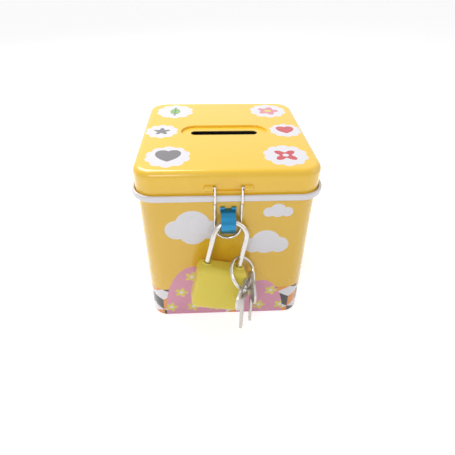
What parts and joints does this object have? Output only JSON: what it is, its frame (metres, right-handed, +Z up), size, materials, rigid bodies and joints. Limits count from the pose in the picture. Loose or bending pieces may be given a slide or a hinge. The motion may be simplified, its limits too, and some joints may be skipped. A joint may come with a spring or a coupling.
{
  "type": "tin money box",
  "caption": "Square tin money box: hinged drawn lid with a coin slot, wire hasp over a strip staple, and a small covered padlock with keys on a split ring.",
  "frame": {"origin": "centre of the base panel's flat underside, on the surface the tin stands on", "axes": "+Z up, -Y towards the front with the hasp and padlock, +X to the right as seen from the front"},
  "size_m": [0.0798, 0.1067, 0.083],
  "materials": {
    "printed_tin": "gloss",
    "bare_tin": "satin",
    "blue_strip": "metallic gloss",
    "bright_wire": "polished",
    "yellow_plastic": "satin",
    "brass": "satin",
    "key_steel": "satin"
  },
  "bodies": {
    "tin": {"body_shell": "printed_tin", "base_panel": "bare_tin", "staple": "blue_strip", "hinge_leaf_body": "bare_tin", "hinge_rivets_body": "bare_tin", "hinge_pin": "bright_wire"},
    "lid": {"lid_shell": "printed_tin", "hinge_leaf_lid": "bare_tin", "hinge_rivets_lid": "bare_tin"},
    "hasp": {"hasp_wire": "bright_wire"},
    "shackle": {"shackle": "bright_wire"},
    "lock": {"lock_cover": "yellow_plastic", "lock_case": "brass", "lock_base_cap": "yellow_plastic", "latch_spring": "bright_wire"},
    "latch": {"latch_bolt": "bare_tin"},
    "plug": {"key_plug": "brass", "plug_cam": "brass"},
    "ring": {"key_ring": "bright_wire"},
    "key_front": {"key_front": "key_steel"},
    "key_rear": {"key_rear": "key_steel"}
  },
  "joints": [
    {"name": "lid_hinge", "type": "hinge", "parent": "tin", "child": "lid", "pos_m": [0, 0.04295, 0.0742], "axis": [-1, 0, 0], "range_deg": [0, 100]},
    {"name": "hasp_swing", "type": "hinge", "parent": "lid", "child": "hasp", "pos_m": [0, -0.0399, 0.076], "axis": [-1, 0, 0], "range_deg": [0, 110]},
    {"name": "padlock_swing", "type": "hinge", "parent": "tin", "child": "shackle", "pos_m": [0, -0.04186, 0.06031], "axis": [-1, 0, 0], "range_deg": [-3, 15]},
    {"name": "case_drop", "type": "slide", "parent": "shackle", "child": "lock", "axis": [-0.2214, -0.2286, -0.948], "range_m": [0, 0.006]},
    {"name": "plug_turn", "type": "hinge", "parent": "lock", "child": "plug", "pos_m": [-0.0066, -0.05093, 0.02174], "axis": [0.2214, 0.2286, 0.948], "range_deg": [0, 90]},
    {"name": "latch_slide", "type": "slide", "parent": "lock", "child": "latch", "axis": [-0.9708, -0.04, 0.2364], "range_m": [0, 0.002], "deforming": ["latch_spring"]},
    {"name": "ring_swing", "type": "hinge", "parent": "shackle", "child": "ring", "pos_m": [0.00412, -0.04409, 0.04286], "axis": [-0.6599, -0.6806, 0.3182], "range_deg": [0, 12]},
    {"name": "front_key_swing", "type": "hinge", "parent": "ring", "child": "key_front", "pos_m": [0.00601, -0.05523, 0.03443], "axis": [0.7295, 0.2716, -0.6278], "range_deg": [0, 5]},
    {"name": "rear_key_swing", "type": "hinge", "parent": "ring", "child": "key_rear", "pos_m": [0.01083, -0.05026, 0.03211], "axis": [0.4136, 0.9072, 0.0766], "range_deg": [-3, 1]}
  ],
  "couplings": [
    {"joint": "plug_turn", "follows": "case_drop", "rad_per_m": 261.79},
    {"joint": "latch_slide", "follows": "case_drop", "ratio": 0.3333}
  ]
}
